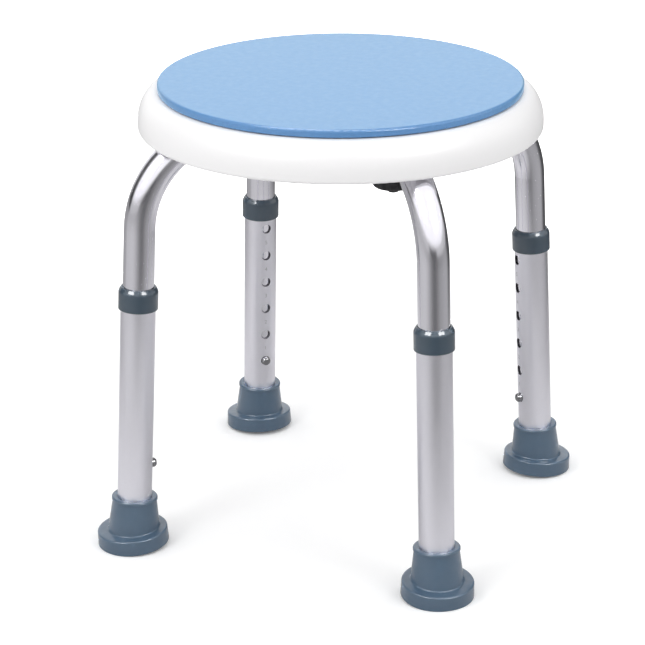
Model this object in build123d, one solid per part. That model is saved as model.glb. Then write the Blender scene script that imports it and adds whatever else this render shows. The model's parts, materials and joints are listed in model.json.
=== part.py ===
from build123d import *
from math import cos, radians, sin, sqrt, tan
import os

# Round shower stool: a moulded seat with a turning top, carried by two bent tubes that cross
# under it, on four legs that lengthen by snap buttons and stand in rubber feet.
# Millimetres and degrees. The floor is z = 0 and the top turns about the Z axis.
# Each leg piece is made on a leg that stands towards +X, and is then turned to its corner.

# Overall sizes
stool_height = 372.0
seat_diameter = 324.6
leg_outset = 24.2
leg_splay = 2.95
leg_azimuths = (-45.0, 45.0, 135.0, 225.0)

# Clearances
moving_clearance = 0.3
running_clearance = 0.05
axial_play = 0.3

# Moulded seat
shoulder_width = 17.0
shoulder_height = 24.0
rim_wall_height = 7.0
rim_round = 3.0
seat_wall = 3.5
seat_plate = 4.5
rib_thickness = 2.5
rib_rise = 1.5
ring_rib_radii = (60.0, 122.0)
spoke_ribs_from_leg = (25.0, 45.0, 65.0)
hub_length = 5.5
hub_wall = 6.0
boss_diameter = 19.0

# Turning top
pad_diameter = 292.0
pad_edge_height = 6.1
pad_gap = 0.9
pad_lip_width = 4.0
pad_top_round = 1.8
pad_foot_round = 0.6
turntable_thickness = 2.8
spigot_diameter = 34.0
bush_wall = 2.0
bush_flange_width = 4.0
bush_sink = 0.5
glide_radius = 110.0
glide_width = 12.0
glide_sink = 1.6
retaining_rim = 4.0
retaining_thickness = 1.2
screw_diameter = 5.0
screw_length = 9.5
screw_head_diameter = 10.0
screw_head_height = 1.7

# Bent tubes under the seat
upper_tube_diameter = 25.0
upper_tube_wall = 1.2
bend_radius = 77.5
run_gap = 0.8
crossing_gap = 0.4
crossing_ramp_angle = 40.0
crossing_round = 6.0
tube_tail = 22.0

# Lower legs
lower_tube_wall = 1.2
hole_pitch = 25.4
hole_count = 6
lowest_hole = 68.7
collar_low = 203.7
collar_height = 18.5
collar_wall = 1.9
collar_lip = 3.0
collar_shoulder_height = 3.6
collar_shoulder_width = 2.0
collar_shoulder_round = 5.0
collar_top_round = 0.8
collar_foot_round = 0.5

# Snap buttons and their springs
button_diameter = 7.8
button_stand_out = 3.9
button_dome = 2.6
button_flange_diameter = 11.0
button_flange_thickness = 1.2
spring_thickness = 0.6
spring_width = 9.0
spring_pad = 6.5
spring_rise = 38.0
spring_bow = 5.0
spring_bow_round = 2.0

# Rubber feet
foot_height = 41.7
sole_thickness = 9.0
foot_washer_thickness = 2.0
boot_top_wall = 4.0
boot_bottom_wall = 8.0
boot_lip_height = 2.8
boot_lip_width = 0.7
boot_lip_round = 1.3
boot_lip_foot_round = 0.3
boot_mouth_flare = 0.4
boot_fillet = 1.2
flange_width = 7.1
flange_wall_height = 12.4
flange_slope = 4.0
flange_draft = 0.5
flange_round = 1.5
flange_foot_round = 0.8
flange_cant = 4.0
flange_press = 1.0
sole_groove_radii = (9.0, 16.0, 23.0)
sole_groove_width = 2.4
sole_groove_depth = 1.6

# Hand knobs that clamp the tubes to the seat
knob_past_bend = 5.5
stud_diameter = 6.0
stud_grip = 11.0
insert_diameter = 8.4
insert_length = 4.5
insert_sink = 0.2
saddle_diameter = 17.0
saddle_thickness = 5.0
knob_neck_diameter = 15.0
knob_neck_height = 6.0
knob_diameter = 32.0
knob_head_height = 8.0
knob_rim_round = 2.5
knob_nub_diameter = 9.0
knob_nub_height = 4.5
knob_nub_round = 1.2
knob_flute_count = 8
knob_flute_radius = 4.5
knob_flute_depth = 1.8

# Radii
seat_radius = seat_diameter / 2
pad_radius = pad_diameter / 2
spigot_radius = spigot_diameter / 2
bush_bore = spigot_radius + running_clearance
bush_radius = bush_bore + bush_wall
hub_radius = bush_radius + hub_wall
retaining_radius = bush_radius + retaining_rim
tube_radius = upper_tube_diameter / 2
tube_bore = tube_radius - upper_tube_wall
tube_space = tube_radius + moving_clearance
lower_bore = tube_radius + moving_clearance
lower_radius = lower_bore + lower_tube_wall
hole_radius = button_diameter / 2 + moving_clearance
stud_radius = stud_diameter / 2
stud_hole = stud_radius + moving_clearance
boot_top_radius = lower_radius + boot_top_wall
boot_bottom_radius = lower_radius + boot_bottom_wall
flange_radius = boot_bottom_radius + flange_width

# Heights, from the top of the stool downwards
pad_low = stool_height - pad_edge_height
turntable_top = pad_low + turntable_thickness
seat_top = pad_low - pad_gap
seat_under = seat_top - seat_plate
shoulder_low = seat_top - shoulder_height
seat_low = shoulder_low - rim_wall_height
hub_low = seat_top - hub_length
spigot_low = hub_low - axial_play
retaining_low = spigot_low - retaining_thickness
screw_low = retaining_low - screw_head_height
run_height = screw_low - run_gap - tube_radius
rib_low = run_height + rib_rise
insert_low = run_height + tube_space + insert_sink
insert_top = insert_low + insert_length
saddle_low = run_height - tube_radius - saddle_thickness
knob_head_top = saddle_low - knob_neck_height
knob_head_low = knob_head_top - knob_head_height
knob_low = knob_head_low - knob_nub_height

# Heights along a leg, from the floor upwards
washer_low = sole_thickness
lower_tube_low = washer_low + foot_washer_thickness
lower_tube_top = collar_low + collar_height - collar_lip
upper_tube_low = lowest_hole - tube_tail

# The line of a leg and the place of its knob
leg_spread = seat_radius + leg_outset
run_corner = leg_spread - run_height * tan(radians(leg_splay))
bend_tangent = bend_radius * tan(radians(90 - leg_splay) / 2)
knob_reach = run_corner - bend_tangent + knob_past_bend
leg_up = (-sin(radians(leg_splay)), 0, cos(radians(leg_splay)))
leg_inward = (-cos(radians(leg_splay)), 0, -sin(radians(leg_splay)))
leg_frame = Plane(origin=(leg_spread, 0, 0), x_dir=leg_inward, z_dir=leg_up)


def rod(radius, low, high):
    """Upright cylinder between two heights."""
    upright = (Align.CENTER, Align.CENTER, Align.MIN)
    return Pos(0, 0, low) * Cylinder(radius, high - low, align=upright)


def ring(outer, inner, low, high):
    """Upright tube or washer between two heights."""
    return rod(outer, low, high) - rod(inner, low, high)


def turned(outline):
    """Solid of revolution about Z from a closed outline of radius and height."""
    return revolve(Plane.XZ * make_face(outline), Axis.Z)


def rounded_turning(corners):
    """Solid of revolution from corners given as radius, height and corner rounding."""
    points = [(radius, height) for radius, height, rounding in corners]
    roundings = [rounding for radius, height, rounding in corners]
    return turned(FilletPolyline(*points, radius=roundings, close=True))


def at_legs(shape):
    """The shape of the leg towards +X, turned to each of the four corners."""
    return [Rot(0, 0, azimuth) * shape for azimuth in leg_azimuths]


def on_leg(shape):
    """A shape made upright on a leg's own axis, set on the leg towards +X."""
    return leg_frame.location * shape


def side_hole(height):
    """Cutter for a button hole in the wall that faces the middle of the stool."""
    return Pos(0, 0, height) * Rot(0, 90, 0) * rod(hole_radius, 0, lower_radius + tube_radius)


# Bent tubes

def leg_point(distance, side):
    """Point on the axis of the leg towards +X or -X, a distance up from the floor."""
    return (side * (leg_spread + leg_up[0] * distance), 0, leg_up[2] * distance)


def tube_path():
    """Centre line of one tube: up a leg, across under the seat and down the far leg."""
    corner_left = (-run_corner, 0, run_height)
    corner_right = (run_corner, 0, run_height)
    ends = [leg_point(upper_tube_low, side) for side in (-1, 1)]
    return FilletPolyline(ends[0], corner_left, corner_right, ends[1], radius=bend_radius)


def swept_tube(radius):
    """Solid rod of a given radius along the tube's centre line."""
    path = tube_path()
    section = Plane(origin=path @ 0, z_dir=path % 0) * Circle(radius)
    return sweep(section, path=path)


def crossing_press(growth):
    """Tool that presses the underside of a tube flat where the other tube passes below it."""
    depth = 2 * tube_radius
    ramp = radians(crossing_ramp_angle)
    level = crossing_gap / 2
    half_flat = tube_space + crossing_round * tan(ramp / 2)
    half_mouth = half_flat + (depth + level) / tan(ramp)
    outline = FilletPolyline(
        (-half_mouth, -depth),
        (-half_flat, level),
        (half_flat, level),
        (half_mouth, -depth),
        radius=[0, crossing_round, crossing_round, 0],
        close=True,
    )
    tool = make_face(outline)
    if growth:
        tool = offset(tool, amount=growth, kind=Kind.INTERSECTION)
    return extrude(Plane.XZ * tool, amount=upper_tube_diameter, both=True)


def frame_tube(press_turn):
    """Bent tube with its crossing, stud holes and button holes. The turn chooses the pressed side."""
    set_at_crossing = Pos(0, 0, run_height) * Rot(press_turn, 0, 0)
    outside = swept_tube(tube_radius) - set_at_crossing * crossing_press(0)
    inside = swept_tube(tube_bore) - set_at_crossing * crossing_press(upper_tube_wall)
    tube = outside - inside
    for side_turn in (0, 180):
        tube -= Rot(0, 0, side_turn) * on_leg(side_hole(lowest_hole))
        stud_cut = rod(stud_hole, run_height - 2 * tube_radius, run_height + 2 * tube_radius)
        tube -= Rot(0, 0, side_turn) * Pos(knob_reach, 0, 0) * stud_cut
    return tube


def tube_room():
    """Space that both bent tubes need under the seat, open downwards."""
    along = swept_tube(tube_space)
    below = Box(
        2 * run_corner - 2 * bend_tangent,
        2 * tube_space,
        rib_rise + 2 * tube_radius,
        align=(Align.CENTER, Align.CENTER, Align.MAX),
    )
    one = along + Pos(0, 0, run_height) * below
    return [Rot(0, 0, azimuth) * one for azimuth in leg_azimuths[:2]]


# Moulded seat

def seat_outline(wall, plate, low, foot_round):
    """Outline of the seat, drawn in by the wall at the rim and by the plate at the top."""
    rim = seat_radius - wall
    top = seat_top - plate
    centre = (seat_radius - shoulder_width, shoulder_low)
    shoulder = EllipticalCenterArc(centre, shoulder_width - wall, shoulder_height - plate, arc_size=90)
    foot = FilletPolyline((0, top), (0, low), (rim, low), (rim, shoulder_low), radius=[0, foot_round])
    return foot.edges() + shoulder.edges() + Line(shoulder @ 1, (0, top)).edges()


def seat_ribs():
    """Ring, spoke and tube-side ribs under the seat, with the bosses of the hand knobs."""
    rib_top = seat_top - seat_plate / 2
    rib_height = rib_top - rib_low
    reach = seat_radius - seat_wall / 2
    lengthwise = (Align.MIN, Align.CENTER, Align.MIN)
    spoke = Pos(0, 0, rib_low) * Box(reach, rib_thickness, rib_height, align=lengthwise)
    ribs = []
    for radius in ring_rib_radii:
        ribs.append(ring(radius + rib_thickness / 2, radius - rib_thickness / 2, rib_low, rib_top))
    for leg_azimuth in leg_azimuths:
        for turn in spoke_ribs_from_leg:
            ribs.append(Rot(0, 0, leg_azimuth + turn) * spoke)
        for side in (-1, 1):
            beside = side * (tube_space + rib_thickness / 2)
            ribs.append(Rot(0, 0, leg_azimuth) * Pos(0, beside, 0) * spoke)
        boss = rod(boss_diameter / 2, rib_low, rib_top)
        ribs.append(Rot(0, 0, leg_azimuth) * Pos(knob_reach, 0, 0) * boss)
    return Part() + ribs


def seat_base():
    """White moulded seat: a shell with ribs, a pivot hub and half-round beds for the tubes."""
    body = turned(seat_outline(0, 0, seat_low, rim_round))
    hollow = turned(seat_outline(seat_wall, seat_plate, seat_low - seat_wall, 0))
    seat = body - hollow + (seat_ribs() & body)
    seat -= rod(hub_radius, rib_low - rib_rise, seat_under)
    seat += rod(hub_radius, hub_low, seat_under)
    seat -= rod(bush_radius, hub_low, seat_top)
    seat -= rod(bush_radius + bush_flange_width, seat_top - bush_sink, seat_top)
    seat -= glide_ring()
    seat -= tube_room()
    seat -= at_legs(Pos(knob_reach, 0, 0) * rod(insert_diameter / 2, run_height, insert_top))
    return seat


# Turning top

def swivel_pad():
    """Blue top with a turned-down edge that wraps the turntable."""
    lip = pad_radius - pad_lip_width
    return rounded_turning([
        (0, turntable_top, 0),
        (lip, turntable_top, 0),
        (lip, pad_low, 0),
        (pad_radius, pad_low, pad_foot_round),
        (pad_radius, stool_height, pad_top_round),
        (0, stool_height, 0),
    ])


def turntable():
    """Stiff disc under the pad, with the spigot that it turns on."""
    disc = rod(pad_radius - pad_lip_width, pad_low, turntable_top)
    spigot = rod(spigot_radius, spigot_low, pad_low)
    screw_hole = rod(screw_diameter / 2, spigot_low, retaining_low + screw_length)
    return disc + spigot - screw_hole


def pivot_bush():
    """Flanged bush in the seat's hub, in which the spigot turns."""
    sleeve = ring(bush_radius, bush_bore, hub_low, pad_low)
    flange = ring(bush_radius + bush_flange_width, bush_bore, seat_top - bush_sink, pad_low)
    return sleeve + flange


def glide_ring():
    """Slippery ring in a groove of the seat, which carries the turntable near its edge."""
    half = glide_width / 2
    return ring(glide_radius + half, glide_radius - half, seat_top - glide_sink, pad_low)


def retaining_washer():
    """Wide washer under the spigot, which keeps the turning top from lifting off."""
    return ring(retaining_radius, screw_diameter / 2, retaining_low, spigot_low)


def retaining_screw():
    """Screw from below into the spigot."""
    shank = rod(screw_diameter / 2, retaining_low, retaining_low + screw_length)
    return shank + rod(screw_head_diameter / 2, screw_low, retaining_low)


# Lower legs, each upright on its own axis

def lower_leg():
    """Outer tube with its row of button holes."""
    tube = ring(lower_radius, lower_bore, lower_tube_low, lower_tube_top)
    for index in range(hole_count):
        tube -= side_hole(lowest_hole + index * hole_pitch)
    return tube


def leg_collar():
    """Collar pushed over the top of the outer tube, with a lip that guides the inner tube."""
    outer = lower_radius + collar_wall
    top = collar_low + collar_height
    return rounded_turning([
        (lower_radius, collar_low, 0),
        (outer, collar_low, collar_foot_round),
        (outer, top - collar_shoulder_height, collar_shoulder_round),
        (outer - collar_shoulder_width, top, collar_top_round),
        (lower_bore, top, 0),
        (lower_bore, lower_tube_top, 0),
        (lower_radius, lower_tube_top, 0),
    ])


def foot():
    """Rubber foot: a tapered boot round the tube on a wide flange, which is moulded at a cant."""
    lip_radius = boot_top_radius + boot_lip_width
    lip_low = foot_height - boot_lip_height
    boot_low = flange_wall_height / 2
    boot = rounded_turning([
        (0, boot_low, 0),
        (boot_bottom_radius, boot_low, 0),
        (boot_top_radius, lip_low, 0),
        (lip_radius, lip_low, boot_lip_foot_round),
        (lip_radius, foot_height, boot_lip_round),
        (0, foot_height, 0),
    ])
    mouth = Pos(0, 0, foot_height - boot_mouth_flare) * Cone(
        lower_radius,
        lower_radius + boot_mouth_flare,
        boot_mouth_flare,
        align=(Align.CENTER, Align.CENTER, Align.MIN),
    )
    flange_edge = flange_radius - flange_draft
    crown = flange_wall_height + (flange_edge - lower_radius) * tan(radians(flange_slope))
    flange = rounded_turning([
        (0, 0, 0),
        (flange_radius, 0, flange_foot_round),
        (flange_edge, flange_wall_height, flange_round),
        (lower_radius, crown, 0),
        (0, crown, 0),
    ])
    for radius in sole_groove_radii:
        half = sole_groove_width / 2
        flange -= ring(radius + half, radius - half, 0, sole_groove_depth)
    cant = radians(flange_cant)
    flange_frame = Plane(
        origin=(leg_spread, 0, flange_radius * sin(cant) - flange_press),
        x_dir=(cos(cant), 0, -sin(cant)),
        z_dir=(sin(cant), 0, cos(cant)),
    )
    boot_on_leg = on_leg(boot - mouth)
    flange_on_floor = flange_frame.location * flange
    joined = boot_on_leg + flange_on_floor
    seam = new_edges(boot_on_leg, flange_on_floor, combined=joined)
    bore = on_leg(rod(lower_radius, washer_low, foot_height))
    placed = fillet(seam, radius=boot_fillet) - bore
    below_floor = Box(
        2 * foot_height + 2 * flange_radius,
        2 * foot_height + 2 * flange_radius,
        foot_height,
        align=(Align.CENTER, Align.CENTER, Align.MAX),
    )
    return placed - Pos(leg_spread, 0, 0) * below_floor


def foot_washer():
    """Steel disc in the bottom of the boot, under the end of the tube."""
    return rod(lower_radius, washer_low, lower_tube_low)


# Snap buttons

button_seat = sqrt(tube_bore**2 - (button_flange_diameter / 2) ** 2) - moving_clearance
button_back = button_seat - button_flange_thickness


def snap_button():
    """Round button with a flange inside the tube, drawn along its own axis and laid on the leg."""
    tip = lower_radius + button_stand_out
    pin = rounded_turning([
        (0, button_back, 0),
        (button_flange_diameter / 2, button_back, 0),
        (button_flange_diameter / 2, button_seat, 0),
        (button_diameter / 2, button_seat, 0),
        (button_diameter / 2, tip, button_dome),
        (0, tip, 0),
    ])
    return Pos(0, 0, lowest_hole) * Rot(0, 90, 0) * pin


def snap_spring():
    """Bent strip inside the tube: one arm behind the button, the other against the far wall."""
    half_strip = spring_thickness / 2
    near = button_back - half_strip
    far = sqrt(tube_bore**2 - (spring_width / 2) ** 2) - moving_clearance - half_strip
    top = lowest_hole + spring_rise
    path = FilletPolyline(
        (near, 0, lowest_hole - spring_pad),
        (near, 0, lowest_hole + spring_pad),
        (spring_bow / 2, 0, top),
        (-spring_bow / 2, 0, top),
        (-far, 0, lowest_hole - spring_pad),
        radius=spring_bow_round,
    )
    across_strip = Plane(origin=path @ 0, x_dir=(0, 1, 0), z_dir=path % 0)
    return sweep(across_strip * Rectangle(spring_width, spring_thickness), path=path)


# Hand knobs

def at_knob(shape):
    """A shape made about Z, set on the axis of the knob of the leg towards +X."""
    return Pos(knob_reach, 0, 0) * shape


def tube_saddle():
    """Saddle between the underside of a tube and its knob."""
    block = ring(saddle_diameter / 2, stud_hole, saddle_low, run_height)
    return at_knob(block) - swept_tube(tube_space)


def knob_insert():
    """Threaded insert in a boss of the seat."""
    return at_knob(ring(insert_diameter / 2, stud_radius + running_clearance, insert_low, insert_top))


def knob_stud():
    """Stud moulded into a knob, which passes through the tube into the insert."""
    return at_knob(rod(stud_radius, saddle_low - stud_grip, insert_top - axial_play))


def clamp_knob():
    """Fluted hand knob with a neck against the saddle and a nub at its lower end."""
    head = rounded_turning([
        (0, knob_low, 0),
        (knob_nub_diameter / 2, knob_low, knob_nub_round),
        (knob_nub_diameter / 2, knob_head_low, 0),
        (knob_diameter / 2, knob_head_low, knob_rim_round),
        (knob_diameter / 2, knob_head_top, knob_rim_round),
        (knob_neck_diameter / 2, knob_head_top, 0),
        (knob_neck_diameter / 2, saddle_low, 0),
        (0, saddle_low, 0),
    ])
    flute_offset = knob_diameter / 2 + knob_flute_radius - knob_flute_depth
    flute = Pos(flute_offset, 0, 0) * rod(knob_flute_radius, knob_head_low, knob_head_top)
    for index in range(knob_flute_count):
        head -= Rot(0, 0, index * 360 / knob_flute_count) * flute
    head -= rod(stud_radius, saddle_low - stud_grip, saddle_low)
    return at_knob(head)


# Every node of the stool, by name

nodes = {
    "seat_base": seat_base(),
    "frame_tube_over": Rot(0, 0, leg_azimuths[0]) * frame_tube(0),
    "frame_tube_under": Rot(0, 0, leg_azimuths[1]) * frame_tube(180),
    "swivel_pad": swivel_pad(),
    "turntable": turntable(),
    "pivot_bush": pivot_bush(),
    "glide_ring": glide_ring(),
    "retaining_washer": retaining_washer(),
    "retaining_screw": retaining_screw(),
    "tube_saddles": Compound(children=at_legs(tube_saddle())),
    "knob_inserts": Compound(children=at_legs(knob_insert())),
}
leg_pieces = {
    "lower_leg": on_leg(lower_leg()),
    "leg_collar": on_leg(leg_collar()),
    "foot": foot(),
    "foot_washer": on_leg(foot_washer()),
    "snap_button": on_leg(snap_button()),
    "snap_spring": on_leg(snap_spring()),
    "clamp_knob": clamp_knob(),
    "knob_stud": knob_stud(),
}
for name, shape in leg_pieces.items():
    for number, placed in enumerate(at_legs(shape), start=1):
        nodes[f"{name}_{number}"] = placed

os.makedirs("parts", exist_ok=True)
for name, shape in nodes.items():
    export_step(shape, f"parts/{name}.step")
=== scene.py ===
import json
import logging
import math
from abc import ABC, abstractmethod
from dataclasses import dataclass, field, replace
from enum import Enum
from typing import Any

import bpy
from mathutils import Matrix, Vector

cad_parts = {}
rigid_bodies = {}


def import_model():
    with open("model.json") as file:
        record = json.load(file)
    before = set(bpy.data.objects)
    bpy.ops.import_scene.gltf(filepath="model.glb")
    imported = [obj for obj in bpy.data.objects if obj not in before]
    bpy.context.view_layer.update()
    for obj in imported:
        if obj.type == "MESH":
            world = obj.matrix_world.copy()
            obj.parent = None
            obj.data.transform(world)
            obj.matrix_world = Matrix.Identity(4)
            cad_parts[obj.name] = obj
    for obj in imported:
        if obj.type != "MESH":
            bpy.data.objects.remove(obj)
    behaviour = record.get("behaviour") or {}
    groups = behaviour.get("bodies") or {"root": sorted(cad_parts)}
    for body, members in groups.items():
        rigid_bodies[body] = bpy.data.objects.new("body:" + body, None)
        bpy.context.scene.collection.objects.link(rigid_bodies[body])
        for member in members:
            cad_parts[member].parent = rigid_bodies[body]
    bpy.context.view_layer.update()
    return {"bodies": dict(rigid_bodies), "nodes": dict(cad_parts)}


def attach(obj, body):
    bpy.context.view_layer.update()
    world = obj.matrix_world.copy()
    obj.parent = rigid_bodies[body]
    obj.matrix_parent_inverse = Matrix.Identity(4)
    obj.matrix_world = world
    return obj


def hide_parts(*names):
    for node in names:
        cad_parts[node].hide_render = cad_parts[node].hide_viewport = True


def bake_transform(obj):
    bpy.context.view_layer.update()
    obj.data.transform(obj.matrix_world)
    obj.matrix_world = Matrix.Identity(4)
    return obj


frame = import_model()

log = logging.getLogger("shower_stool")

Colour = tuple[float, float, float]
MM = 0.001
WHITE = (1.0, 1.0, 1.0, 1.0)
NOISE_RANGE = (0.3, 0.7)


class Slot(Enum):
    """Material slots of the record, one for each finish of the stool."""

    SEAT_WHITE = "seat_white"
    PAD_BLUE = "pad_blue"
    TURNTABLE_WHITE = "turntable_white"
    ACETAL = "acetal"
    TUBE_ALUMINIUM = "tube_aluminium"
    COLLAR_SLATE = "collar_slate"
    FOOT_RUBBER = "foot_rubber"
    KNOB_BLACK = "knob_black"
    PLATED_STEEL = "plated_steel"
    INSERT_BRASS = "insert_brass"


class Corner(Enum):
    """The four legs by number, with the corner of the stool at which each one stands."""

    FRONT_RIGHT = 1
    BACK_RIGHT = 2
    BACK_LEFT = 3
    FRONT_LEFT = 4

    @property
    def azimuth(self) -> float:
        """Direction of the leg about Z, in radians from +X."""
        return math.radians(90 * (self.value - 1) - 45)

    @property
    def leg_body(self) -> str:
        """CAD body of the sliding lower leg."""
        return f"leg_{self.value}"


class NodeBench:
    """Adds nodes to one tree and joins them.

    Args:
        tree: The node tree to work on.
    """

    def __init__(self, tree: bpy.types.NodeTree) -> None:
        self.tree = tree

    def add(
        self, kind: str, inputs: dict[Any, Any] | None = None, **settings: Any
    ) -> bpy.types.Node:
        """Adds one node.

        Args:
            kind: Blender's name of the node type.
            inputs: Values or sockets for the node's inputs, by name or index.
            settings: Values for the node's own properties.

        Returns:
            The new node.
        """
        node = self.tree.nodes.new(kind)
        for name, value in settings.items():
            setattr(node, name, value)
        for name, value in (inputs or {}).items():
            if isinstance(value, bpy.types.NodeSocket):
                self.tree.links.new(value, node.inputs[name])
            else:
                node.inputs[name].default_value = value
        return node

    def math(self, operation: str, first: Any, second: Any = 0.0) -> bpy.types.NodeSocket:
        """Adds one Math node.

        Args:
            operation: Blender's name of the operation.
            first: Value or socket.
            second: Value or socket.

        Returns:
            The socket that holds the result.
        """
        kind = "ShaderNodeMath"
        return self.add(kind, {0: first, 1: second}, operation=operation).outputs[0]


@dataclass(frozen=True)
class Ramp:
    """A smooth change of one value with another, level before the start and after the end.

    Attributes:
        start: Value at which the change starts.
        end: Value at which it ends.
        low: Result before the start.
        high: Result after the end.
    """

    start: float
    end: float
    low: float
    high: float

    def over(self, bench: NodeBench, value: bpy.types.NodeSocket) -> bpy.types.NodeSocket:
        """Adds the change to a tree.

        Args:
            bench: Bench of the tree.
            value: The value that it follows.

        Returns:
            The socket that holds the result.
        """
        inputs = {
            "Value": value,
            "From Min": self.start,
            "From Max": self.end,
            "To Min": self.low,
            "To Max": self.high,
        }
        ramp = bench.add("ShaderNodeMapRange", inputs, interpolation_type="SMOOTHSTEP")
        return ramp.outputs["Result"]


class ShapeTree:
    """A Geometry Nodes tree that is run once and leaves one plain mesh.

    Args:
        name: Name of the tree and of the piece that it makes.
        sizes: The tree's inputs by name, with their values. One of them is the Material.
    """

    SOCKETS = {float: "NodeSocketFloat", int: "NodeSocketInt", str: "NodeSocketString"}

    def __init__(self, name: str, sizes: dict[str, Any]) -> None:
        self.name = name
        self.sizes = sizes
        self.tree = bpy.data.node_groups.new(name, "GeometryNodeTree")
        self.bench = NodeBench(self.tree)
        for label, value in sizes.items():
            kind = self.SOCKETS.get(type(value), "NodeSocketMaterial")
            self.tree.interface.new_socket(label, in_out="INPUT", socket_type=kind)
        kind = "NodeSocketGeometry"
        self.tree.interface.new_socket("Geometry", in_out="OUTPUT", socket_type=kind)
        self.given = self.bench.add("NodeGroupInput").outputs

    def along_z(self, height: Any) -> bpy.types.NodeSocket:
        """The point at a height on the Z axis."""
        return self.bench.add("ShaderNodeCombineXYZ", {"Z": height}).outputs["Vector"]

    def rod(self, radius: Any, low: Any, high: Any, sides: int, rows: int) -> bpy.types.NodeSocket:
        """A solid rod on the Z axis.

        Args:
            radius: Radius, as a value or a socket.
            low: Height of the lower end.
            high: Height of the upper end.
            sides: Faces round the rod.
            rows: Rings of points along the rod.

        Returns:
            The rod's socket.
        """
        ends = {"Start": self.along_z(low), "End": self.along_z(high)}
        axis = self.bench.add("GeometryNodeCurvePrimitiveLine", ends).outputs["Curve"]
        spaced = {"Curve": axis, "Count": rows}
        axis = self.bench.add("GeometryNodeResampleCurve", spaced).outputs["Curve"]
        around = {"Resolution": sides, "Radius": radius}
        circle = self.bench.add("GeometryNodeCurvePrimitiveCircle", around).outputs["Curve"]
        swept = {"Curve": axis, "Profile Curve": circle, "Fill Caps": True}
        return self.bench.add("GeometryNodeCurveToMesh", swept).outputs["Mesh"]

    def smoothed(self, shape: bpy.types.NodeSocket, crease: float) -> bpy.types.NodeSocket:
        """Shades a shape smooth, with sharp edges where its faces meet at more than an angle.

        Args:
            shape: The shape's socket.
            crease: The angle in radians.

        Returns:
            The socket of the shaded shape.
        """
        kind = "GeometryNodeSetShadeSmooth"
        faces = self.bench.add(kind, {"Geometry": shape, "Shade Smooth": True}, domain="FACE")
        angle = self.bench.add("GeometryNodeInputMeshEdgeAngle").outputs["Unsigned Angle"]
        compared = {0: angle, 1: crease}
        sharp = self.bench.add("FunctionNodeCompare", compared, operation="GREATER_THAN")
        edges = {"Geometry": faces.outputs[0], "Selection": sharp.outputs[0], "Shade Smooth": False}
        return self.bench.add(kind, edges, domain="EDGE").outputs[0]

    def finish(self, shape: bpy.types.NodeSocket) -> bpy.types.Object:
        """Ends the tree, runs it and keeps the plain mesh.

        Args:
            shape: The shape's socket.

        Returns:
            The finished piece, at the origin.
        """
        whole = self.bench.add("GeometryNodeRealizeInstances", {0: shape}).outputs[0]
        dressed = {"Geometry": whole, "Material": self.given["Material"]}
        dressed = self.bench.add("GeometryNodeSetMaterial", dressed).outputs[0]
        self.bench.add("NodeGroupOutput", {0: dressed})
        piece = bpy.data.objects.new(self.name, bpy.data.meshes.new(self.name))
        bpy.context.scene.collection.objects.link(piece)
        modifier = piece.modifiers.new(self.name, "NODES")
        modifier.node_group = self.tree
        for item in self.tree.interface.items_tree:
            if item.in_out == "INPUT":
                modifier[item.identifier] = self.sizes[item.name]
        view = bpy.context.evaluated_depsgraph_get()
        mesh = bpy.data.meshes.new_from_object(piece.evaluated_get(view), depsgraph=view)
        piece.modifiers.remove(modifier)
        piece.data = mesh
        return piece


@dataclass(frozen=True)
class Grain:
    """Relief or variation that a noise lays over a surface.

    Attributes:
        size: Width of one feature, in metres.
        amount: Share by which a value varies, or the depth of a relief in metres.
        stretch: Factor by which the features are longer along Z.
    """

    size: float
    amount: float
    stretch: float = 1.0

    def noise(self, bench: NodeBench, detail: float = 3.0) -> bpy.types.NodeSocket:
        """Adds the noise on the piece's own coordinates.

        Args:
            bench: Bench of the material's tree.
            detail: Octaves of the noise.

        Returns:
            The noise's value, about one half on average.
        """
        place = bench.add("ShaderNodeTexCoord").outputs["Object"]
        scale = (1 / self.size, 1 / self.size, 1 / (self.size * self.stretch))
        mapped = bench.add("ShaderNodeMapping", {"Vector": place, "Scale": scale})
        inputs = {"Vector": mapped.outputs["Vector"], "Scale": 1.0, "Detail": detail}
        return bench.add("ShaderNodeTexNoise", inputs).outputs["Fac"]


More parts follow.
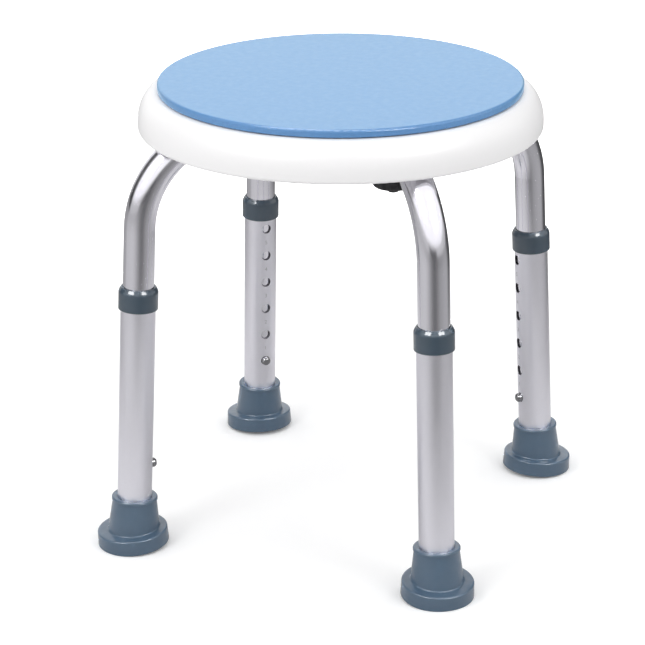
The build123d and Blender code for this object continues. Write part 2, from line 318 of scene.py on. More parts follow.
@dataclass(frozen=True)
class Finish(ABC):
    """What the finishes share: a colour and a roughness that vary a little, and a fine relief.

    Attributes:
        slot: Slot of the record that the finish belongs to.
        colour: Linear base colour.
        roughness: Mean roughness.
        cloud: Variation of the colour.
        polish: Variation of the roughness.
        relief: Fine relief of the surface.
    """

    slot: Slot
    colour: Colour
    roughness: float
    cloud: Grain
    polish: Grain
    relief: Grain

    def build(self, suffix: str = "") -> bpy.types.Material:
        """Makes the material.

        Args:
            suffix: Text added to the material's name.

        Returns:
            The material.
        """
        material = bpy.data.materials.new(f"finish_{self.slot.value}{suffix}")
        material.use_nodes = True
        material.node_tree.nodes.clear()
        bench = NodeBench(material.node_tree)
        inputs = {
            "Base Color": self.tinted(bench),
            "Roughness": self.polished(bench),
            "Normal": self.relieved(bench),
            **self.constants(),
        }
        shader = bench.add("ShaderNodeBsdfPrincipled", inputs)
        bench.add("ShaderNodeOutputMaterial", {"Surface": shader.outputs["BSDF"]})
        return material

    def tinted(self, bench: NodeBench) -> bpy.types.NodeSocket:
        """Base colour, lighter and darker by the cloud.

        Args:
            bench: Bench of the material's tree.

        Returns:
            The colour's socket.
        """
        low, high = 1 - self.cloud.amount, 1 + self.cloud.amount
        inputs = {
            "Factor": self.cloud.noise(bench),
            "A": (*[min(1.0, channel * low) for channel in self.colour], 1.0),
            "B": (*[min(1.0, channel * high) for channel in self.colour], 1.0),
        }
        mix = bench.add("ShaderNodeMix", data_type="RGBA")
        for name, value in inputs.items():
            socket = next(s for s in mix.inputs if s.name == name and s.enabled)
            if isinstance(value, bpy.types.NodeSocket):
                bench.tree.links.new(value, socket)
            else:
                socket.default_value = value
        return next(s for s in mix.outputs if s.enabled)

    def polished(self, bench: NodeBench) -> bpy.types.NodeSocket:
        """Roughness, higher and lower by the polish.

        Args:
            bench: Bench of the material's tree.

        Returns:
            The roughness socket.
        """
        inputs = {
            "Value": self.polish.noise(bench),
            "From Min": NOISE_RANGE[0],
            "From Max": NOISE_RANGE[1],
            "To Min": self.roughness * (1 - self.polish.amount),
            "To Max": self.roughness * (1 + self.polish.amount),
        }
        return bench.add("ShaderNodeMapRange", inputs).outputs["Result"]

    def relieved(self, bench: NodeBench) -> bpy.types.NodeSocket:
        """Normal of the fine relief.

        Args:
            bench: Bench of the material's tree.

        Returns:
            The normal's socket.
        """
        height = self.relief.noise(bench)
        inputs = {"Height": height, "Distance": self.relief.amount, "Strength": 1.0}
        return bench.add("ShaderNodeBump", inputs).outputs["Normal"]

    @abstractmethod
    def constants(self) -> dict[str, Any]:
        """Values of the shader that are the same all over the surface."""


@dataclass(frozen=True)
class MouldedFinish(Finish):
    """Moulded plastic or rubber.

    Attributes:
        gloss: Specular level of the skin.
        coat: Weight of a clear skin on top.
        coat_roughness: Roughness of that skin.
        sheen: Weight of the pale sheen that a fine grain shows at a flat angle.
        sheen_tint: Colour of the sheen.
    """

    gloss: float = 0.5
    coat: float = 0.0
    coat_roughness: float = 0.1
    sheen: float = 0.0
    sheen_tint: Colour = (1.0, 1.0, 1.0)

    def constants(self) -> dict[str, Any]:
        """Values of the shader that are the same all over the surface."""
        return {
            "Specular IOR Level": self.gloss,
            "Coat Weight": self.coat,
            "Coat Roughness": self.coat_roughness,
            "Sheen Weight": self.sheen,
            "Sheen Tint": (*self.sheen_tint, 1.0),
        }


@dataclass(frozen=True)
class MetalFinish(Finish):
    """Bare, plated or anodised metal."""

    def constants(self) -> dict[str, Any]:
        """Values of the shader that are the same all over the surface."""
        return {"Metallic": 1.0}


SEAT_WHITE = MouldedFinish(
    Slot.SEAT_WHITE,
    colour=(0.872, 0.866, 0.872),
    roughness=0.36,
    cloud=Grain(60 * MM, 0.012),
    polish=Grain(25 * MM, 0.12),
    relief=Grain(0.9 * MM, 0.012 * MM),
    gloss=0.45,
)
PAD_BLUE = MouldedFinish(
    Slot.PAD_BLUE,
    colour=(0.1, 0.252, 0.512),
    roughness=0.5,
    cloud=Grain(2.6 * MM, 0.1),
    polish=Grain(6 * MM, 0.15),
    relief=Grain(1.1 * MM, 0.02 * MM),
    gloss=0.3,
    coat=0.9,
    coat_roughness=0.08,
    sheen=0.52,
    sheen_tint=(0.32, 0.7, 1.0),
)
TURNTABLE_WHITE = MouldedFinish(
    Slot.TURNTABLE_WHITE,
    colour=(0.8, 0.8, 0.81),
    roughness=0.45,
    cloud=Grain(40 * MM, 0.015),
    polish=Grain(15 * MM, 0.1),
    relief=Grain(1.0 * MM, 0.01 * MM),
)
ACETAL = MouldedFinish(
    Slot.ACETAL,
    colour=(0.82, 0.81, 0.76),
    roughness=0.38,
    cloud=Grain(20 * MM, 0.02),
    polish=Grain(8 * MM, 0.1),
    relief=Grain(0.8 * MM, 0.008 * MM),
)
BENT_ALUMINIUM = MetalFinish(
    Slot.TUBE_ALUMINIUM,
    colour=(0.85, 0.838, 0.9),
    roughness=0.16,
    cloud=Grain(1.5 * MM, 0.012, stretch=12),
    polish=Grain(9 * MM, 0.06, stretch=6),
    relief=Grain(0.35 * MM, 0.001 * MM, stretch=6),
)
DRAWN_ALUMINIUM = replace(BENT_ALUMINIUM, roughness=0.36)
STAMPED_ALUMINIUM = MetalFinish(
    Slot.TUBE_ALUMINIUM,
    colour=(0.55, 0.55, 0.57),
    roughness=0.42,
    cloud=Grain(0.8 * MM, 0.15),
    polish=Grain(1 * MM, 0.2),
    relief=Grain(0.3 * MM, 0.004 * MM),
)
# Near-black, rough metal for the walls of the button holes: its dark colour is painted shade inside
# the holes.
HOLE_SHADE_ALUMINIUM = MetalFinish(
    Slot.TUBE_ALUMINIUM,
    colour=(0.1, 0.1, 0.11),
    roughness=0.55,
    cloud=Grain(0.5 * MM, 0.2),
    polish=Grain(0.5 * MM, 0.2),
    relief=Grain(0.2 * MM, 0.01 * MM),
)
COLLAR_SLATE = MouldedFinish(
    Slot.COLLAR_SLATE,
    colour=(0.032, 0.055, 0.081),
    roughness=0.5,
    cloud=Grain(9 * MM, 0.06),
    polish=Grain(6 * MM, 0.15),
    relief=Grain(0.8 * MM, 0.006 * MM),
    coat=1.0,
    coat_roughness=0.05,
)
FOOT_RUBBER = MouldedFinish(
    Slot.FOOT_RUBBER,
    colour=(0.054, 0.099, 0.156),
    roughness=0.5,
    cloud=Grain(12 * MM, 0.06),
    polish=Grain(7 * MM, 0.18),
    relief=Grain(0.9 * MM, 0.008 * MM),
    coat=1.0,
    coat_roughness=0.07,
)
KNOB_BLACK = MouldedFinish(
    Slot.KNOB_BLACK,
    colour=(0.016, 0.016, 0.018),
    roughness=0.42,
    cloud=Grain(6 * MM, 0.1),
    polish=Grain(4 * MM, 0.15),
    relief=Grain(0.7 * MM, 0.015 * MM),
)
PLATED_STEEL = MetalFinish(
    Slot.PLATED_STEEL,
    colour=(0.27, 0.27, 0.28),
    roughness=0.09,
    cloud=Grain(5 * MM, 0.05),
    polish=Grain(2 * MM, 0.25),
    relief=Grain(0.4 * MM, 0.002 * MM),
)
INSERT_BRASS = MetalFinish(
    Slot.INSERT_BRASS,
    colour=(0.75, 0.56, 0.24),
    roughness=0.3,
    cloud=Grain(3 * MM, 0.05),
    polish=Grain(2 * MM, 0.2),
    relief=Grain(0.4 * MM, 0.003 * MM),
)


class Workshop:
    """Keeps one material for each finish and lays it on the pieces."""

    def __init__(self) -> None:
        self.materials: dict[Finish, bpy.types.Material] = {}

    def material(self, finish: Finish) -> bpy.types.Material:
        """The material of a finish, made when it is first asked for."""
        if finish not in self.materials:
            self.materials[finish] = finish.build(f"_{len(self.materials)}")
        return self.materials[finish]

    def dress(self, node: str, finish: Finish) -> None:
        """Gives a CAD node its finish.

        Args:
            node: Name of the node.
            finish: The finish.
        """
        data = frame["nodes"][node].data
        data.materials.clear()
        data.materials.append(self.material(finish))
        log.info("node %s: %s", node, finish.slot.value)

    def fit(self, piece: bpy.types.Object, body: str, finish: Finish) -> None:
        """Lets a finished piece ride on its body.

        Args:
            piece: The piece, at its place.
            body: Name of the CAD body.
            finish: The finish that the piece wears.
        """
        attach(piece, body)
        log.info("piece %s on %s: %s", piece.name, body, finish.slot.value)


@dataclass
class TurningTop:
    """The blue top with the disc and the fastening that it turns on."""

    nodes: dict[str, Finish] = field(
        default_factory=lambda: {
            "swivel_pad": PAD_BLUE,
            "turntable": TURNTABLE_WHITE,
            "retaining_washer": PLATED_STEEL,
            "retaining_screw": PLATED_STEEL,
        }
    )

    def build(self, workshop: Workshop) -> None:
        """Dresses the turning pieces."""
        for node, finish in self.nodes.items():
            workshop.dress(node, finish)


@dataclass
class SeatFrame:
    """The moulded seat with its bearing and the two bent tubes clamped under it."""

    nodes: dict[str, Finish] = field(
        default_factory=lambda: {
            "seat_base": SEAT_WHITE,
            "pivot_bush": ACETAL,
            "glide_ring": ACETAL,
            "frame_tube_over": BENT_ALUMINIUM,
            "frame_tube_under": BENT_ALUMINIUM,
            "tube_saddles": KNOB_BLACK,
            "knob_inserts": INSERT_BRASS,
        }
    )

    def build(self, workshop: Workshop) -> None:
        """Dresses the standing pieces."""
        for node, finish in self.nodes.items():
            workshop.dress(node, finish)


@dataclass
class LowerLeg:
    """One leg: the bored outer tube, its collar and its foot, with the snap button and the knob.

    Attributes:
        corner: Corner of the stool.
        spread: Distance of the leg's axis from the stool's axis on the floor.
        splay: Angle of the leg's axis to the vertical, in degrees.
        tube_radius: Outer radius of the tube.
        tube_wall: Wall of the tube.
        tube_low: Lower end of the tube along the leg.
        tube_high: Upper end of the tube along the leg.
        tube_sides: Faces round the tube.
        tube_rows: Rings of points along the tube.
        overrun: Length by which the cutter of the bore stands out of the tube.
        crease: Angle in radians above which an edge of the tube stays sharp.
        hole_radius: Radius of a button hole.
        hole_sides: Faces round a hole.
        hole_pitch: Distance between the holes.
        holes: Number of holes.
        lowest_hole: Place of the lowest hole along the leg.
        number_height: Height of the setting numbers between the holes.
        number_depth: Relief of the numbers.
        number_aside: Shift that centres a number across the leg, as a share of its height.
        number_drop: Shift that centres it along the leg.
        weld: Distance below which points of the numbers become one.
        hole_shade_depth: Depth of the dark lining in a hole, which is painted shade on the hole's
            wall.
        spring_far: Place across the leg at the far wall, for the snap spring; not used.
        spring_near: Place across the leg near the button, for the snap spring; not used.
    """

    corner: Corner
    spread: float = 186.5 * MM
    splay: float = 2.95
    tube_radius: float = 14.0 * MM
    tube_wall: float = 1.2 * MM
    tube_low: float = 11.0 * MM
    tube_high: float = 219.2 * MM
    tube_sides: int = 96
    tube_rows: int = 72
    overrun: float = 1.0 * MM
    crease: float = 0.6
    hole_radius: float = 4.2 * MM
    hole_sides: int = 48
    hole_pitch: float = 25.4 * MM
    holes: int = 6
    lowest_hole: float = 68.7 * MM
    number_height: float = 5.0 * MM
    number_depth: float = 0.05 * MM
    number_aside: float = -0.28
    number_drop: float = -0.35
    weld: float = 0.001 * MM
    hole_shade_depth: float = 0.03 * MM
    spring_far: float = -9.4 * MM
    spring_near: float = 7.7 * MM

    @property
    def place(self) -> Matrix:
        """Takes the leg's own frame, X to the stool's axis and Z up the tube, to the stool's."""
        lean = math.radians(self.splay)
        inward = Vector((-math.cos(lean), 0, -math.sin(lean)))
        upward = Vector((-math.sin(lean), 0, math.cos(lean)))
        axes = Matrix((inward, upward.cross(inward), upward)).transposed().to_4x4()
        axes.translation = (self.spread, 0, 0)
        return Matrix.Rotation(self.corner.azimuth, 4, "Z") @ axes

    def build(self, workshop: Workshop) -> None:
        """Dresses the leg's nodes and makes its tube, the painted shade in its holes, its numbers and
        its spring.
        """
        number = self.corner.value
        nodes = {
            "leg_collar": COLLAR_SLATE,
            "foot": FOOT_RUBBER,
            "foot_washer": PLATED_STEEL,
            "snap_button": PLATED_STEEL,
            "clamp_knob": KNOB_BLACK,
            "knob_stud": PLATED_STEEL,
        }
        for node, finish in nodes.items():
            workshop.dress(f"{node}_{number}", finish)
        tube = self.bored_tube(workshop.material(DRAWN_ALUMINIUM))
        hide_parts(f"lower_leg_{number}")
        workshop.fit(tube, self.corner.leg_body, DRAWN_ALUMINIUM)
        # Dark linings on the walls of the button holes: painted shade.
        edges = self.hole_shade_linings(workshop.material(HOLE_SHADE_ALUMINIUM))
        workshop.fit(edges, self.corner.leg_body, HOLE_SHADE_ALUMINIUM)
        numbers = self.setting_numbers(workshop.material(STAMPED_ALUMINIUM))
        workshop.fit(numbers, self.corner.leg_body, STAMPED_ALUMINIUM)
        self.bent_spring(workshop.material(PLATED_STEEL))

    def hole_row(self, tree: ShapeTree, across: Any) -> bpy.types.NodeSocket:
        """Adds the row of points at the button holes.

        Args:
            tree: Tree with the inputs Holes, Lowest Hole and Hole Pitch.
            across: Place of the row along X, as a value or a socket.

        Returns:
            The socket of the points.
        """
        first = {"X": across, "Z": tree.given["Lowest Hole"]}
        row = {
            "Count": tree.given["Holes"],
            "Start Location": tree.bench.add("ShaderNodeCombineXYZ", first).outputs["Vector"],
            "Offset": tree.along_z(tree.given["Hole Pitch"]),
        }
        return tree.bench.add("GeometryNodeMeshLine", row).outputs["Mesh"]

    def bored_tube(self, material: bpy.types.Material) -> bpy.types.Object:
        """Makes the outer tube with its row of button holes.

        Args:
            material: Material of the tube.

        Returns:
            The tube on its leg.
        """
        tree = ShapeTree(
            f"bored_tube_{self.corner.value}",
            {
                "Radius": self.tube_radius,
                "Bore": self.tube_radius - self.tube_wall,
                "Low": self.tube_low,
                "High": self.tube_high,
                "Hole Radius": self.hole_radius,
                "Lowest Hole": self.lowest_hole,
                "Hole Pitch": self.hole_pitch,
                "Holes": self.holes,
                "Material": material,
            },
        )
        bench, given = tree.bench, tree.given
        ends = (given["Low"], given["High"])
        outside = tree.rod(given["Radius"], *ends, sides=self.tube_sides, rows=self.tube_rows)
        past_low = bench.math("SUBTRACT", given["Low"], self.overrun)
        past_high = bench.math("ADD", given["High"], self.overrun)
        inside = tree.rod(given["Bore"], past_low, past_high, sides=self.tube_sides, rows=2)
        row = self.hole_row(tree, given["Radius"])
        drill = {
            "Vertices": self.hole_sides,
            "Radius": given["Hole Radius"],
            "Depth": given["Bore"],
        }
        drill = bench.add("GeometryNodeMeshCylinder", drill).outputs["Mesh"]
        drills = {"Points": row, "Instance": drill, "Rotation": (0.0, math.pi / 2, 0.0)}
        drills = bench.add("GeometryNodeInstanceOnPoints", drills).outputs["Instances"]
        drills = bench.add("GeometryNodeRealizeInstances", {0: drills}).outputs[0]
        cut = {"operation": "DIFFERENCE", "solver": "MANIFOLD"}
        bored = bench.add("GeometryNodeMeshBoolean", {0: outside}, **cut)
        for tool in (inside, drills):
            bench.tree.links.new(tool, bored.inputs[1])
        tube = tree.finish(tree.smoothed(bored.outputs["Mesh"], crease=self.crease))
        tube.data.transform(self.place)
        return tube

    def hole_shade_linings(self, material: bpy.types.Material) -> bpy.types.Object:
        """Makes dark linings on the walls of the holes, which are painted shade inside them.

        Args:
            material: Material of the walls.

        Returns:
            The walls on their leg.
        """
        tree = ShapeTree(
            f"hole_shade_linings_{self.corner.value}",
            {
                "Radius": self.tube_radius,
                "Bore": self.tube_radius - self.tube_wall,
                "Hole Radius": self.hole_radius,
                "Skin": self.hole_shade_depth,
                "Lowest Hole": self.lowest_hole,
                "Hole Pitch": self.hole_pitch,
                "Holes": self.holes,
                "Material": material,
            },
        )
        bench, given = tree.bench, tree.given
        half_skin = bench.math("MULTIPLY", given["Skin"], 0.5)
        middle = bench.math("SUBTRACT", given["Hole Radius"], half_skin)
        loop = {"Resolution": self.hole_sides, "Radius": middle}
        loop = bench.add("GeometryNodeCurvePrimitiveCircle", loop).outputs["Curve"]
        loop = bench.add("GeometryNodeSetCurveNormal", {"Curve": loop}).outputs["Curve"]
        # The height only tells the outer end of a wall from the inner one.
        section = {"Width": given["Skin"], "Height": MM}
        section = bench.add("GeometryNodeCurvePrimitiveQuadrilateral", section).outputs["Curve"]
        swept = {"Curve": loop, "Profile Curve": section}
        wall = bench.add("GeometryNodeCurveToMesh", swept).outputs["Mesh"]
        wall = bench.add("GeometryNodeFlipFaces", {"Mesh": wall}).outputs["Mesh"]
        spot = bench.add("GeometryNodeInputPosition").outputs["Position"]
        spot = bench.add("ShaderNodeSeparateXYZ", {0: spot}).outputs
        outer = bench.math("GREATER_THAN", spot["Z"], 0.0)
        reach = bench.math("SUBTRACT", given["Radius"], given["Bore"])
        reach = bench.math("ADD", given["Bore"], bench.math("MULTIPLY", reach, outer))
        reach = bench.math("MULTIPLY", reach, reach)
        off_axis = bench.math("MULTIPLY", spot["Y"], spot["Y"])
        deep = bench.math("SQRT", bench.math("SUBTRACT", reach, off_axis))
        fitted = {"X": deep, "Y": spot["Y"], "Z": spot["X"]}
        fitted = bench.add("ShaderNodeCombineXYZ", fitted).outputs["Vector"]
        wall = bench.add("GeometryNodeSetPosition", {"Geometry": wall, "Position": fitted}).outputs[0]
        walls = {"Points": self.hole_row(tree, 0.0), "Instance": wall}
        walls = bench.add("GeometryNodeInstanceOnPoints", walls).outputs["Instances"]
        edges = tree.finish(walls)
        edges.data.transform(self.place)
        return edges

    def setting_numbers(self, material: bpy.types.Material) -> bpy.types.Object:
        """Makes the small numbers stamped between the holes, counted from the lowest.

        Args:
            material: Material of the numbers.

        Returns:
            The numbers on their leg.
        """
        tree = ShapeTree(
            f"setting_numbers_{self.corner.value}",
            {
                "Numbers": "12345",
                "Height": self.number_height,
                "Depth": self.number_depth,
                "Radius": self.tube_radius,
                "Lowest": self.lowest_hole + self.hole_pitch / 2,
                "Pitch": self.hole_pitch,
                "Material": material,
            },
        )
        bench, given = tree.bench, tree.given
        text = {"String": given["Numbers"], "Size": given["Height"]}
        text = bench.add("GeometryNodeStringToCurves", text).outputs[0]
        index = bench.add("GeometryNodeInputIndex").outputs["Index"]
        step = bench.math("MULTIPLY", index, given["Pitch"])
        drop = bench.math("MULTIPLY", given["Height"], self.number_drop)
        shift = bench.math("MULTIPLY", given["Height"], self.number_aside)
        height = bench.math("ADD", bench.math("ADD", step, given["Lowest"]), drop)
        spot = bench.add("ShaderNodeCombineXYZ", {"X": shift, "Y": height}).outputs["Vector"]
        text = bench.add("GeometryNodeSetPosition", {"Geometry": text, "Position": spot}).outputs[0]
        text = bench.add("GeometryNodeRealizeInstances", {0: text}).outputs[0]
        faces = bench.add("GeometryNodeFillCurve", {"Curve": text}).outputs[0]
        raised = {"Mesh": faces, "Offset Scale": given["Depth"], "Individual": False}
        raised = bench.add("GeometryNodeExtrudeMesh", raised).outputs["Mesh"]
        under = bench.add("GeometryNodeFlipFaces", {"Mesh": faces}).outputs["Mesh"]
        closed = bench.add("GeometryNodeJoinGeometry")
        for part in (raised, under):
            bench.tree.links.new(part, closed.inputs[0])
        closed = {"Geometry": closed.outputs["Geometry"], "Distance": self.weld}
        raised = bench.add("GeometryNodeMergeByDistance", closed).outputs["Geometry"]
        flat = bench.add("GeometryNodeInputPosition").outputs["Position"]
        flat = bench.add("ShaderNodeSeparateXYZ", {0: flat}).outputs
        turn = bench.math("DIVIDE", flat["X"], given["Radius"])
        reach = bench.math("ADD", flat["Z"], given["Radius"])
        wrapped = {
            "X": bench.math("MULTIPLY", reach, bench.math("COSINE", turn)),
            "Y": bench.math("MULTIPLY", reach, bench.math("SINE", turn)),
            "Z": flat["Y"],
        }
        wrapped = bench.add("ShaderNodeCombineXYZ", wrapped).outputs["Vector"]
        bent = {"Geometry": raised, "Position": wrapped}
        numbers = tree.finish(bench.add("GeometryNodeSetPosition", bent).outputs[0])
        numbers.data.transform(self.place)
        return numbers

    def bent_spring(self, material: bpy.types.Material) -> bpy.types.Object:
        """Makes a copy of the snap spring, in the place of the CAD node.

        Args:
            material: Material of the spring.

        Returns:
            The spring between the bent tube and the button.
        """
        number = self.corner.value
        data = frame["nodes"][f"snap_spring_{number}"].data.copy()
        data.materials.clear()
        data.materials.append(material)
        spring = bpy.data.objects.new(f"bent_spring_{number}", data)
        bpy.context.scene.collection.objects.link(spring)
        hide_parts(f"snap_spring_{number}")
        reach = (self.spring_far, self.spring_near)
        far, near = (self.place @ Vector((across, 0, self.lowest_hole)) for across in reach)
        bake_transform(spring)
        log.info("piece %s between seat_frame and button_%d", spring.name, number)
        return spring


@dataclass(frozen=True)
class SoftBox:
    """A square lamp that is turned to the stool.

    Attributes:
        aside: Angle from the camera's direction, to the right, in degrees.
        elevation: Angle above the horizon, in degrees.
        distance: Distance from the stool, in metres.
        size: Side of the box, in metres.
        power: Power in watts.
        shine: Brightness of the box in a mirror.
    """

    aside: float
    elevation: float
    distance: float
    size: float
    power: float
    shine: float = 0.0


@dataclass
class Studio:
    """Floor, light and camera. Places are given as seen by the camera: right, away and up.

    Attributes:
        azimuth: Angle of the camera's directions about Z from the stool's, in degrees.
        stand_off: Distance of the camera from the stool's axis.
        eye_height: Height of the camera.
        pitch: Angle by which the camera looks down, in degrees.
        yaw: Angle by which it looks to the right.
        roll: Angle by which it is tilted.
        focal_pixels: Focal length in pixels of the picture.
        frame_pixels: Width of the picture.
        sensor_width: Width of the sensor, in millimetres.
        floor_size: Side of the floor.
        floor_gap: Room between the feet and the floor.
        floor_grey: Brightness of the floor to the light.
        floor_seen: Least brightness of its paint to the eye.
        floor_glow: White that the eye sees besides, by the distance from the stool.
        mirrored_near: Brightness of the floor in a mirror, by the distance from a middle.
        mirrored_middle: That middle.
        mirrored_under_shade: Share of that, by the distance from the stool's axis: painted shadow of
            the stool on the floor as a mirror shows it.
        mirrored_notch: Its brightness in front, by the sine of the angle from the dark middle.
        mirrored_front: Share of that, by how far in front the place lies.
        mirrored_right: Share of that, by how far to the right the place lies.
        mirrored_left: Its brightness on the left.
        notch_middle: Sine of the angle of the dark middle.
        tent_turn: Angle by which the surroundings are turned from the camera's directions.
        tent_front: Brightness of the surroundings in a mirror in front.
        tent_rise: Share of that, by the height above the horizon.
        tent_side: Least share of that, by the sine of the angle from a middle.
        side_middle: Sine of the angle of that middle.
        tent_back: Brightness of the surroundings in a mirror behind.
        sky_rise: Light of the surroundings from the horizon and from above.
        sky_left: Light of the white flat on the left.
        sky_right: Light of the white flat on the right.
        box_width: Share of a lamp's shine, by the distance to the side from its middle.
        box_height: Share of it, by the distance up or down from its middle.
        aim: The place that the lamps are turned to.
        lamps: The lamps by name.
    """

    azimuth: float = 21.3
    stand_off: float = 1.8874
    eye_height: float = 0.8868
    pitch: float = 20.965
    yaw: float = -0.466
    roll: float = -0.305
    focal_pixels: float = 2444.76
    frame_pixels: float = 645.0
    sensor_width: float = 36.0
    floor_size: float = 30.0
    floor_gap: float = 0.2 * MM
    floor_grey: float = 0.72
    floor_seen: float = 0.97
    floor_glow: Ramp = Ramp(0.45, 0.9, 0.09, 1.0)
    mirrored_near: Ramp = Ramp(0.22, 0.92, 0.7, 0.08)
    mirrored_under_shade: Ramp = Ramp(0.0, 0.32, 0.66, 1.0)
    mirrored_notch: Ramp = Ramp(0.0, 1.0, 0.14, 0.5)
    mirrored_front: Ramp = Ramp(-0.6, 0.0, 0.0, 1.0)
    mirrored_right: Ramp = Ramp(0.4, 0.9, 1.0, 0.78)
    mirrored_left: Ramp = Ramp(-0.1, -0.7, 0.0, 0.36)
    mirrored_middle: tuple[float, float, float] = (-0.06, 0.07, 0.0)
    notch_middle: float = 0.16
    tent_turn: float = 14.0
    tent_front: Ramp = Ramp(0.15, 0.4, 1.12, 0.1)
    tent_rise: Ramp = Ramp(0.02, 0.22, 0.05, 1.0)
    tent_side: Ramp = Ramp(0.15, 0.55, 0.0, 0.5)
    side_middle: float = -0.2
    tent_back: Ramp = Ramp(0.75, 0.9, 0.0, 1.0)
    sky_rise: Ramp = Ramp(0.0, 1.0, 0.3, 1.0)
    sky_left: Ramp = Ramp(-0.15, -0.7, 0.0, 1.12)
    sky_right: Ramp = Ramp(0.2, 0.8, 0.0, 1.14)
    box_width: Ramp = Ramp(0.22, 0.32, 1.0, 0.0)
    box_height: Ramp = Ramp(0.06, 0.1, 1.0, 0.0)
    aim: tuple[float, float, float] = (0.0, 0.0, 0.2)
    lamps: dict[str, SoftBox] = field(
        default_factory=lambda: {
            "softbox_left": SoftBox(-45.0, 38.0, 1.9, 0.6, 6.1, 18.0),
            "softbox_right": SoftBox(48.0, 38.0, 1.9, 0.6, 4.3, 18.0),
            "softbox_top": SoftBox(180.0, 78.0, 1.7, 1.4, 3.4, 6.0),
        }
    )

    def turned(self, point: tuple[float, float, float] | Vector) -> Vector:
        """Turns a place from the camera's directions into the stool's.

        Args:
            point: Right, away and up, in metres.

        Returns:
            The same place in the stool's frame.
        """
        return Matrix.Rotation(math.radians(self.azimuth), 3, "Z") @ Vector(point)

    def build(self) -> None:
        """Makes the camera, the floor, the world and the lamps."""
        self.make_camera()
        self.make_floor()
        self.make_world()
        for name, box in self.lamps.items():
            self.make_lamp(name, box)

    def make_camera(self) -> None:
        """Sets the camera where the picture was taken from."""
        yaw, pitch, roll = (math.radians(angle) for angle in (self.yaw, self.pitch, self.roll))
        level = math.cos(pitch)
        ahead = Vector((math.sin(yaw) * level, math.cos(yaw) * level, -math.sin(pitch)))
        right = Vector((math.cos(yaw), -math.sin(yaw), 0))
        up = right.cross(ahead)
        level_right = math.cos(roll) * right + math.sin(roll) * up
        level_up = -math.sin(roll) * right + math.cos(roll) * up
        axes = [self.turned(axis) for axis in (level_right, level_up, -ahead)]
        data = bpy.data.cameras.new("camera")
        data.sensor_width = self.sensor_width
        data.lens = self.focal_pixels / self.frame_pixels * self.sensor_width
        camera = bpy.data.objects.new("camera", data)
        place = Matrix(axes).transposed().to_4x4()
        place.translation = self.turned((0, -self.stand_off, self.eye_height))
        camera.matrix_world = place
        bpy.context.scene.collection.objects.link(camera)
        bpy.context.scene.camera = camera

    def make_floor(self) -> None:
        """Lays the pale floor under the lowest foot: white to the eye, and clear from below."""
        half = self.floor_size / 2
        corners = [(-half, -half, 0), (half, -half, 0), (half, half, 0), (-half, half, 0)]
        data = bpy.data.meshes.new("floor")
        data.from_pydata(corners, [], [(0, 1, 2, 3)])
        floor = bpy.data.objects.new("floor", data)
        floor.location.z = -self.floor_gap
        bpy.context.scene.collection.objects.link(floor)
        material = bpy.data.materials.new("pale_floor")
        material.use_nodes = True
        material.node_tree.nodes.clear()
        bench = NodeBench(material.node_tree)
        path = bench.add("ShaderNodeLightPath").outputs
        place = bench.add("ShaderNodeTexCoord").outputs["Object"]
        reach = bench.add("ShaderNodeVectorMath", {0: place}, operation="LENGTH").outputs["Value"]
        mirrored = bench.math("SUBTRACT", self.mirrored_floor(bench, place), self.floor_grey)
        mirrored = bench.math("MULTIPLY", path["Is Glossy Ray"], mirrored)
        pale = bench.math("ADD", mirrored, self.floor_grey)
        least = bench.math("MULTIPLY", path["Is Camera Ray"], self.floor_seen)
        pale = bench.math("MAXIMUM", pale, least)
        paint = bench.add("ShaderNodeBsdfDiffuse", {"Color": pale})
        glow = bench.math("MULTIPLY", path["Is Camera Ray"], self.floor_glow.over(bench, reach))
        glow = bench.add("ShaderNodeEmission", {"Color": WHITE, "Strength": glow})
        both = bench.add("ShaderNodeAddShader", {0: paint.outputs[0], 1: glow.outputs[0]})
        below = bench.add("ShaderNodeNewGeometry").outputs["Backfacing"]
        below = bench.math("MULTIPLY", path["Is Camera Ray"], below)
        clear = bench.add("ShaderNodeBsdfTransparent").outputs[0]
        shown = bench.add("ShaderNodeMixShader", {0: below, 1: both.outputs[0], 2: clear})
        bench.add("ShaderNodeOutputMaterial", {"Surface": shown.outputs[0]})
        data.materials.append(material)
        for corner in Corner:
            rest = floor.constraints.new("FLOOR")
            rest.target = frame["bodies"][corner.leg_body]
            rest.floor_location = "FLOOR_NEGATIVE_Z"
            rest.offset = -self.floor_gap

    def mirrored_floor(self, bench: NodeBench, place: bpy.types.NodeSocket) -> bpy.types.NodeSocket:
        """Brightness of the floor as the bright metal shows it.

        Args:
            bench: Bench of the floor's material.
            place: Place on the floor.

        Returns:
            The brightness.
        """
        turn = (0.0, 0.0, -math.radians(self.azimuth))
        seen = bench.add("ShaderNodeMapping", {"Vector": place, "Rotation": turn}).outputs["Vector"]
        seen = bench.add("ShaderNodeVectorMath", {0: seen}, operation="NORMALIZE").outputs["Vector"]
        seen = bench.add("ShaderNodeSeparateXYZ", {0: seen}).outputs
        aside = bench.math("ABSOLUTE", bench.math("SUBTRACT", seen["X"], self.notch_middle))
        ahead = bench.math("MULTIPLY", seen["Y"], -1.0)
        front = self.mirrored_notch.over(bench, aside)
        front = bench.math("MULTIPLY", front, self.mirrored_front.over(bench, ahead))
        front = bench.math("MULTIPLY", front, self.mirrored_right.over(bench, seen["X"]))
        left = self.mirrored_left.over(bench, seen["X"])
        middle = {0: place, 1: tuple(self.turned(self.mirrored_middle))}
        middle = bench.add("ShaderNodeVectorMath", middle, operation="DISTANCE")
        near = self.mirrored_near.over(bench, middle.outputs["Value"])
        reach = bench.add("ShaderNodeVectorMath", {0: place}, operation="LENGTH").outputs["Value"]
        # Darker near the stool's axis: painted shadow of the stool in the floor's reflection.
        near = bench.math("MULTIPLY", near, self.mirrored_under_shade.over(bench, reach))
        return bench.math("MAXIMUM", near, bench.math("MAXIMUM", front, left))

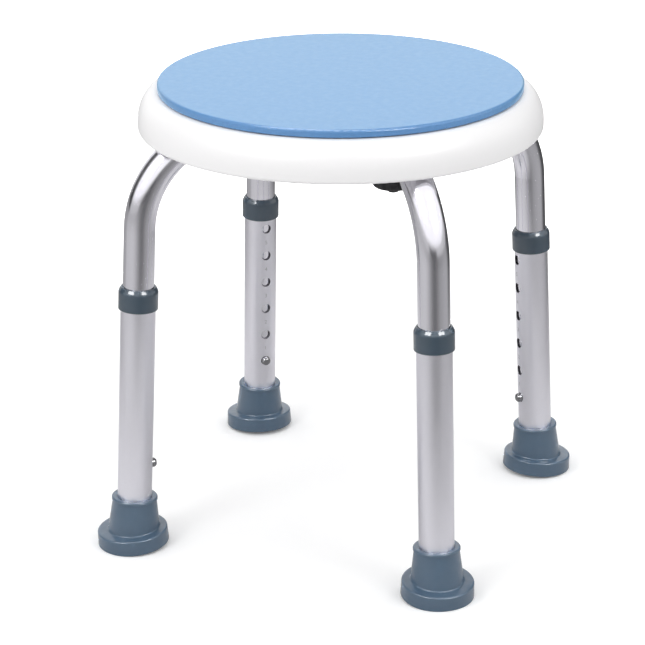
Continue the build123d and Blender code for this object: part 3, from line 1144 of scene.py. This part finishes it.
    def make_world(self) -> None:
        """Makes the surroundings: white to the eye, a soft grey room to the light."""
        world = bpy.data.worlds.new("studio")
        bpy.context.scene.world = world
        world.use_nodes = True
        world.node_tree.nodes.clear()
        bench = NodeBench(world.node_tree)
        path = bench.add("ShaderNodeLightPath").outputs
        way = bench.add("ShaderNodeTexCoord").outputs["Generated"]
        turn = (0.0, 0.0, -math.radians(self.azimuth + self.tent_turn))
        seen = bench.add("ShaderNodeMapping", {"Vector": way, "Rotation": turn}).outputs["Vector"]
        parts = bench.add("ShaderNodeSeparateXYZ", {0: seen}).outputs
        level = {0: seen, 1: (1.0, 1.0, 0.0)}
        level = bench.add("ShaderNodeVectorMath", level, operation="MULTIPLY").outputs["Vector"]
        level = bench.add("ShaderNodeVectorMath", {0: level}, operation="NORMALIZE")
        level = bench.add("ShaderNodeSeparateXYZ", {0: level.outputs["Vector"]}).outputs
        away = level["Y"]
        aside = bench.math("ABSOLUTE", bench.math("SUBTRACT", level["X"], self.side_middle))
        side = self.tent_side.over(bench, aside)
        rise = bench.math("MAXIMUM", self.tent_rise.over(bench, parts["Z"]), side)
        front = bench.math("MULTIPLY", self.tent_front.over(bench, away), rise)
        tent = bench.math("MAXIMUM", front, self.tent_back.over(bench, away))
        tent = bench.math("MAXIMUM", tent, self.mirrored_boxes(bench, way))
        tent = bench.math("MULTIPLY", path["Is Glossy Ray"], tent)
        left, right = (flat.over(bench, parts["X"]) for flat in (self.sky_left, self.sky_right))
        sky = bench.math("MAXIMUM", left, right)
        sky = bench.math("MAXIMUM", sky, self.sky_rise.over(bench, parts["Z"]))
        sky = bench.math("MULTIPLY", path["Is Diffuse Ray"], sky)
        strength = bench.math("MAXIMUM", path["Is Camera Ray"], bench.math("MAXIMUM", sky, tent))
        room = bench.add("ShaderNodeBackground", {"Color": WHITE, "Strength": strength})
        bench.add("ShaderNodeOutputWorld", {"Surface": room.outputs[0]})

    def mirrored_boxes(self, bench: NodeBench, way: bpy.types.NodeSocket) -> bpy.types.NodeSocket:
        """Brightness of the soft boxes as glossy surfaces show them.

        Args:
            bench: Bench of the world.
            way: Direction of the ray.

        Returns:
            The brightness.
        """
        result: Any = 0.0
        for box in self.lamps.values():
            turn = (0.0, 0.0, math.radians(-self.azimuth - box.aside))
            seen = bench.add("ShaderNodeMapping", {"Vector": way, "Rotation": turn}).outputs["Vector"]
            seen = bench.add("ShaderNodeSeparateXYZ", {0: seen}).outputs
            rise = bench.math("SUBTRACT", seen["Z"], math.sin(math.radians(box.elevation)))
            width = self.box_width.over(bench, bench.math("ABSOLUTE", seen["X"]))
            height = self.box_height.over(bench, bench.math("ABSOLUTE", rise))
            shine = bench.math("MULTIPLY", bench.math("MULTIPLY", width, box.shine), height)
            shine = bench.math("MULTIPLY", shine, bench.math("LESS_THAN", seen["Y"], 0.0))
            result = bench.math("MAXIMUM", result, shine)
        return result

    def make_lamp(self, name: str, box: SoftBox) -> None:
        """Hangs one soft box, turned to the stool.

        Args:
            name: Name of the lamp.
            box: Its place, size and power.
        """
        turn, rise = math.radians(box.aside), math.radians(box.elevation)
        level = math.cos(rise)
        reach = Vector((math.sin(turn) * level, -math.cos(turn) * level, math.sin(rise)))
        data = bpy.data.lights.new(name, "AREA")
        data.shape = "SQUARE"
        data.size = box.size
        data.energy = box.power
        lamp = bpy.data.objects.new(name, data)
        lamp.visible_glossy = False
        lamp.location = self.turned(Vector(self.aim) + box.distance * reach)
        lamp.rotation_mode = "QUATERNION"
        lamp.rotation_quaternion = (self.turned(self.aim) - lamp.location).to_track_quat("-Z", "Y")
        bpy.context.scene.collection.objects.link(lamp)


def main() -> None:
    """Dresses the stool and builds the studio round it."""
    logging.basicConfig(level=logging.INFO, format="%(name)s: %(message)s")
    bpy.context.scene.view_settings.view_transform = "Standard"
    workshop = Workshop()
    TurningTop().build(workshop)
    SeatFrame().build(workshop)
    for corner in Corner:
        LowerLeg(corner).build(workshop)
    Studio().build()


if __name__ == "__main__":
    main()
